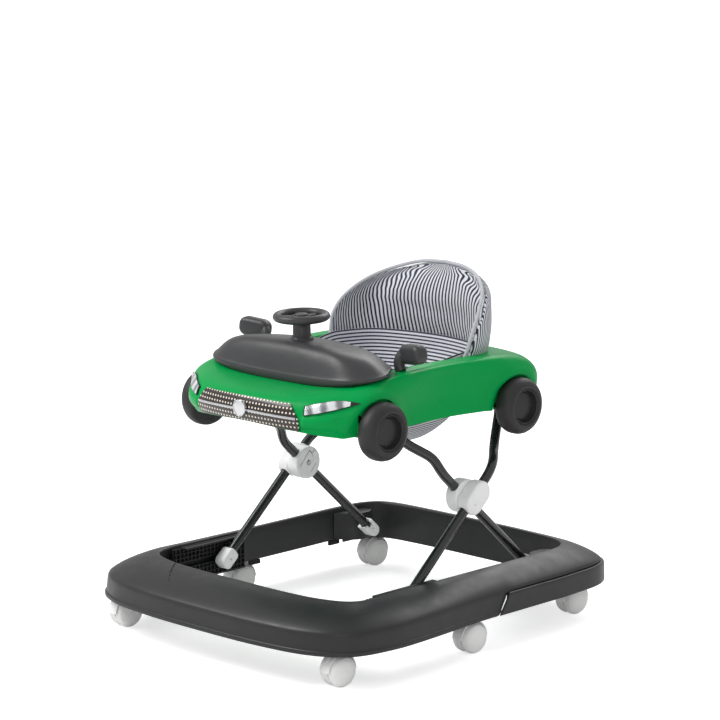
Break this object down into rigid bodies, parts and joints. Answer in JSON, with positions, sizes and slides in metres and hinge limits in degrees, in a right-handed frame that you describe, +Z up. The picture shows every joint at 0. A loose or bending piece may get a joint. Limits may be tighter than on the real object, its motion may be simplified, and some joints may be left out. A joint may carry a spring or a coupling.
{
  "type": "baby walker",
  "caption": "Folding baby walker shaped like a toy car, with a padded sling seat on a scissor frame over a wheeled base ring.",
  "frame": {"origin": "on the floor under the middle of the base ring", "axes": "+Z up, -Y towards the front of the walker, +X towards the child's left hand"},
  "size_m": [0.6016, 0.712, 0.573],
  "materials": {
    "shell_black": "satin moulded polypropylene",
    "tube_black": "gloss black powder-coated steel tube",
    "hood_grey": "satin charcoal plastic",
    "body_green": "gloss green plastic",
    "white_plastic": "satin white plastic",
    "caster_plastic": "pale grey plastic",
    "toy_tyre": "matt dark grey plastic",
    "grille_trim": "dark printed trim with pale dots",
    "silver_trim": "silvered plain disc",
    "lamp_trim": "silvered lamp trim",
    "steel": "zinc-plated steel pin",
    "seat_fabric": "navy and white striped woven cotton",
    "rubber": "black rubber"
  },
  "bodies": {
    "base": {"base_top_shell": "shell_black", "base_rear_skirt": "shell_black", "brake_pad_front_left": "rubber", "brake_pad_rear_left": "rubber", "slide_track_left": "shell_black", "rear_foot_bracket_left": "shell_black", "brake_pad_front_right": "rubber", "brake_pad_rear_right": "rubber", "slide_track_right": "shell_black", "rear_foot_bracket_right": "shell_black"},
    "caster_front_left": {"caster_front_left_housing": "caster_plastic"},
    "caster_front_left_wheels": {"caster_front_left_wheel_outer": "caster_plastic", "caster_front_left_wheel_inner": "caster_plastic"},
    "caster_front_right": {"caster_front_right_housing": "caster_plastic"},
    "caster_front_right_wheels": {"caster_front_right_wheel_outer": "caster_plastic", "caster_front_right_wheel_inner": "caster_plastic"},
    "caster_middle_left": {"caster_middle_left_housing": "caster_plastic"},
    "caster_middle_left_wheels": {"caster_middle_left_wheel_outer": "caster_plastic", "caster_middle_left_wheel_inner": "caster_plastic"},
    "caster_middle_right": {"caster_middle_right_housing": "caster_plastic"},
    "caster_middle_right_wheels": {"caster_middle_right_wheel_outer": "caster_plastic", "caster_middle_right_wheel_inner": "caster_plastic"},
    "caster_rear_left": {"caster_rear_left_housing": "caster_plastic"},
    "caster_rear_left_wheels": {"caster_rear_left_wheel_outer": "caster_plastic", "caster_rear_left_wheel_inner": "caster_plastic"},
    "caster_rear_right": {"caster_rear_right_housing": "caster_plastic"},
    "caster_rear_right_wheels": {"caster_rear_right_wheel_outer": "caster_plastic", "caster_rear_right_wheel_inner": "caster_plastic"},
    "rear_leg": {"rear_leg_tube": "tube_black", "hub_disc_left": "white_plastic", "pivot_pin_left": "steel", "rear_foot_left": "white_plastic", "hub_disc_right": "white_plastic", "pivot_pin_right": "steel", "rear_foot_right": "white_plastic"},
    "front_leg": {"front_leg_tube": "tube_black", "hub_cover_left": "white_plastic", "front_foot_left": "white_plastic", "hub_cover_right": "white_plastic", "front_foot_right": "white_plastic"},
    "lock_button_left": {"fold_lock_button_left": "white_plastic"},
    "lock_button_right": {"fold_lock_button_right": "white_plastic"},
    "car": {"car_body": "body_green", "hood_tray": "hood_grey", "grille": "grille_trim", "nose_badge": "silver_trim", "headlight_left": "lamp_trim", "mirror_left": "hood_grey", "headlight_right": "lamp_trim", "mirror_right": "hood_grey", "steering_column": "hood_grey", "seat_backrest": "seat_fabric", "seat_pouch": "seat_fabric"},
    "toy_wheel_front_left": {"toy_wheel_front_left": "toy_tyre"},
    "toy_wheel_rear_left": {"toy_wheel_rear_left": "toy_tyre"},
    "toy_wheel_front_right": {"toy_wheel_front_right": "toy_tyre"},
    "toy_wheel_rear_right": {"toy_wheel_rear_right": "toy_tyre"},
    "steering": {"steering_wheel": "hood_grey"},
    "horn": {"horn_button": "hood_grey"}
  },
  "joints": [
    {"name": "caster_front_left_swivel", "type": "hinge", "parent": "base", "child": "caster_front_left", "pos_m": [0.24522, -0.27405, 0.06], "axis": [0, 0, 1], "continuous": true},
    {"name": "caster_front_left_spin", "type": "hinge", "parent": "caster_front_left", "child": "caster_front_left_wheels", "pos_m": [0.244, -0.288, 0.025], "axis": [0.9962, -0.0872, 0], "continuous": true},
    {"name": "caster_front_right_swivel", "type": "hinge", "parent": "base", "child": "caster_front_right", "pos_m": [-0.24278, -0.27405, 0.06], "axis": [0, 0, 1], "continuous": true},
    {"name": "caster_front_right_spin", "type": "hinge", "parent": "caster_front_right", "child": "caster_front_right_wheels", "pos_m": [-0.244, -0.288, 0.025], "axis": [0.9962, -0.0872, 0], "continuous": true},
    {"name": "caster_middle_left_swivel", "type": "hinge", "parent": "base", "child": "caster_middle_left", "pos_m": [0.26622, 0.00295, 0.06], "axis": [0, 0, 1], "continuous": true},
    {"name": "caster_middle_left_spin", "type": "hinge", "parent": "caster_middle_left", "child": "caster_middle_left_wheels", "pos_m": [0.265, -0.011, 0.025], "axis": [0.9962, -0.0872, 0], "continuous": true},
    {"name": "caster_middle_right_swivel", "type": "hinge", "parent": "base", "child": "caster_middle_right", "pos_m": [-0.26378, 0.00295, 0.06], "axis": [0, 0, 1], "continuous": true},
    {"name": "caster_middle_right_spin", "type": "hinge", "parent": "caster_middle_right", "child": "caster_middle_right_wheels", "pos_m": [-0.265, -0.011, 0.025], "axis": [0.9962, -0.0872, 0], "continuous": true},
    {"name": "caster_rear_left_swivel", "type": "hinge", "parent": "base", "child": "caster_rear_left", "pos_m": [0.23122, 0.29495, 0.06], "axis": [0, 0, 1], "continuous": true},
    {"name": "caster_rear_left_spin", "type": "hinge", "parent": "caster_rear_left", "child": "caster_rear_left_wheels", "pos_m": [0.23, 0.281, 0.025], "axis": [0.9962, -0.0872, 0], "continuous": true},
    {"name": "caster_rear_right_swivel", "type": "hinge", "parent": "base", "child": "caster_rear_right", "pos_m": [-0.22878, 0.29495, 0.06], "axis": [0, 0, 1], "continuous": true},
    {"name": "caster_rear_right_spin", "type": "hinge", "parent": "caster_rear_right", "child": "caster_rear_right_wheels", "pos_m": [-0.23, 0.281, 0.025], "axis": [0.9962, -0.0872, 0], "continuous": true},
    {"name": "fold", "type": "hinge", "parent": "base", "child": "rear_leg", "pos_m": [0, 0.222, 0.086], "axis": [1, 0, 0], "range_deg": [0, 26]},
    {"name": "leg_cross", "type": "hinge", "parent": "rear_leg", "child": "front_leg", "pos_m": [0, 0.062, 0.229], "axis": [1, 0, 0], "range_deg": [-52, 0]},
    {"name": "car_hinge", "type": "hinge", "parent": "front_leg", "child": "car", "pos_m": [0, 0.206, 0.385], "axis": [1, 0, 0], "range_deg": [0, 26]},
    {"name": "lock_button_left_press", "type": "slide", "parent": "rear_leg", "child": "lock_button_left", "axis": [1, 0, 0], "range_m": [0, 0.004], "stiffness_N_per_m": 600, "springref_m": -0.001},
    {"name": "lock_button_right_press", "type": "slide", "parent": "rear_leg", "child": "lock_button_right", "axis": [-1, 0, 0], "range_m": [0, 0.004], "stiffness_N_per_m": 600, "springref_m": -0.001},
    {"name": "toy_wheel_front_left_spin", "type": "hinge", "parent": "car", "child": "toy_wheel_front_left", "pos_m": [0.2, -0.144, 0.368], "axis": [1, 0, 0], "continuous": true},
    {"name": "toy_wheel_rear_left_spin", "type": "hinge", "parent": "car", "child": "toy_wheel_rear_left", "pos_m": [0.2, 0.176, 0.363], "axis": [1, 0, 0], "continuous": true},
    {"name": "toy_wheel_front_right_spin", "type": "hinge", "parent": "car", "child": "toy_wheel_front_right", "pos_m": [-0.2, -0.144, 0.368], "axis": [1, 0, 0], "continuous": true},
    {"name": "toy_wheel_rear_right_spin", "type": "hinge", "parent": "car", "child": "toy_wheel_rear_right", "pos_m": [-0.2, 0.176, 0.363], "axis": [1, 0, 0], "continuous": true},
    {"name": "steering_turn", "type": "hinge", "parent": "car", "child": "steering", "pos_m": [0, -0.122, 0.523], "axis": [0, -0.0349, 0.9994], "continuous": true},
    {"name": "horn_press", "type": "slide", "parent": "steering", "child": "horn", "axis": [0, 0.0349, -0.9994], "range_m": [0, 0.002], "stiffness_N_per_m": 500, "springref_m": -0.001}
  ],
  "couplings": [
    {"joint": "leg_cross", "follows": "fold", "ratio": -2},
    {"joint": "car_hinge", "follows": "fold", "ratio": 1}
  ]
}
